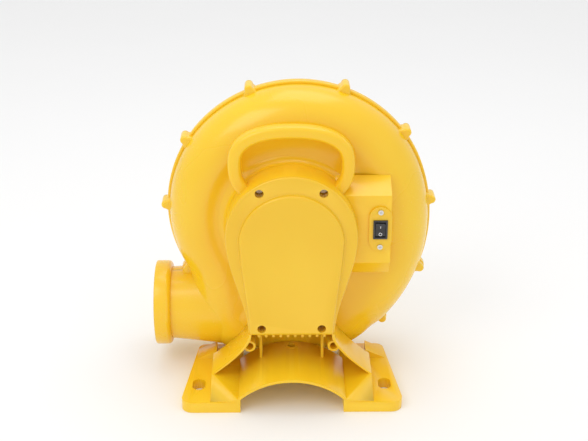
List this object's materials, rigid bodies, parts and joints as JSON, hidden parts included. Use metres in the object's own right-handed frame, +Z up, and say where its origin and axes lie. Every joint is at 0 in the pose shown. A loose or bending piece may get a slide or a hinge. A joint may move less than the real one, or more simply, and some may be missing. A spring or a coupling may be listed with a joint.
{
  "type": "inflatable blower",
  "caption": "Yellow electric air blower: scroll fan casing with side outlet, motor stand with splayed feet, carry handle, rocker switch.",
  "frame": {"origin": "centre of the bounding box on the floor, under the feet", "axes": "+Z up, -Y towards the motor cover and switch, -X towards the air outlet"},
  "size_m": [0.3106, 0.1798, 0.329],
  "materials": {
    "casing_yellow": "smooth semi-gloss moulded ABS",
    "guard_yellow": "moulded ABS",
    "handle_yellow": "smooth semi-gloss moulded ABS",
    "cover_yellow": "smooth semi-gloss moulded ABS",
    "black_plastic": "black nylon",
    "rocker_black": "satin black",
    "fan_plastic": "glass filled nylon",
    "screw_steel": "zinc plated",
    "shaft_steel": "ground steel",
    "lamination_steel": "stacked laminations",
    "copper": "enamelled copper wire",
    "bell_aluminium": "die cast",
    "bearing_chrome": "polished",
    "seal_rubber": "soft black",
    "capacitor_black": "moulded case",
    "terminal_brass": "tinned"
  },
  "bodies": {
    "blower": {"front_volute": "casing_yellow", "rear_volute": "casing_yellow", "casing_screws": "screw_steel", "outlet_collar": "casing_yellow", "inlet_guard": "guard_yellow", "guard_screws": "screw_steel", "stator_core": "lamination_steel", "stator_windings": "copper", "rear_end_bell": "bell_aluminium", "front_end_bell": "bell_aluminium", "ball_bearings": "bearing_chrome", "motor_bolts": "screw_steel", "mount_screws": "screw_steel", "shaft_seal": "seal_rubber", "motor_stand": "casing_yellow", "stand_screws": "screw_steel", "motor_cover": "cover_yellow", "cover_screws": "screw_steel", "carry_handle": "handle_yellow", "switch_box": "casing_yellow", "switch_plate": "cover_yellow", "plate_screws": "screw_steel", "switch_body": "black_plastic", "switch_terminals": "terminal_brass", "cable_gland": "casing_yellow", "capacitor": "capacitor_black", "capacitor_clamp": "screw_steel"},
    "rotor": {"impeller": "fan_plastic", "impeller_nut": "screw_steel", "motor_shaft": "shaft_steel", "rotor_core": "lamination_steel", "cooling_fan": "fan_plastic"},
    "rocker": {"rocker": "rocker_black"}
  },
  "joints": [
    {"name": "impeller_spin", "type": "hinge", "parent": "blower", "child": "rotor", "pos_m": [-0.00326, 0.0391, 0.185], "axis": [0, 1, 0], "continuous": true},
    {"name": "switch_rock", "type": "hinge", "parent": "blower", "child": "rocker", "pos_m": [0.08974, -0.0333, 0.189], "axis": [-1, 0, 0], "range_deg": [0, 16]}
  ]
}
